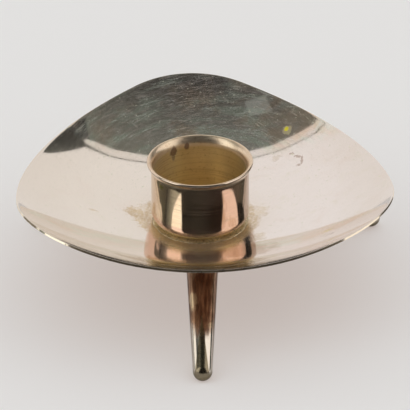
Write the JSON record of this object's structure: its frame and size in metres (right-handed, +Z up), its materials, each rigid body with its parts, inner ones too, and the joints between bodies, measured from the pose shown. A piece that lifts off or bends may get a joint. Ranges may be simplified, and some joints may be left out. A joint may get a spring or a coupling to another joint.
{
  "type": "tripod candle holder",
  "caption": "Low candle holder: a shallow rounded-triangle dish on splayed tapering legs, with a short flared cup soldered at its middle for a straight candle.",
  "frame": {"origin": "on the table surface, under the middle of the holder's bounding box", "axes": "+Z up along the candle, -Y towards the front leg, +X to the right when seen from the front leg's side"},
  "size_m": [0.0916, 0.0998, 0.0325],
  "materials": {
    "dish_plate": "silver plate over brass, polished and worn",
    "cup_plate": "silver plate over brass, tarnished warm, golden inside",
    "leg_plate": "silver plate over brass, tarnished brown towards the root",
    "solder": "dull solder with green and brown tarnish"
  },
  "bodies": {
    "root": {"dish": "dish_plate", "candle_cup": "cup_plate", "cup_solder": "solder", "leg_front": "leg_plate", "leg_front_solder": "solder", "leg_right": "leg_plate", "leg_right_solder": "solder", "leg_left": "leg_plate", "leg_left_solder": "solder"}
  },
  "joints": []
}
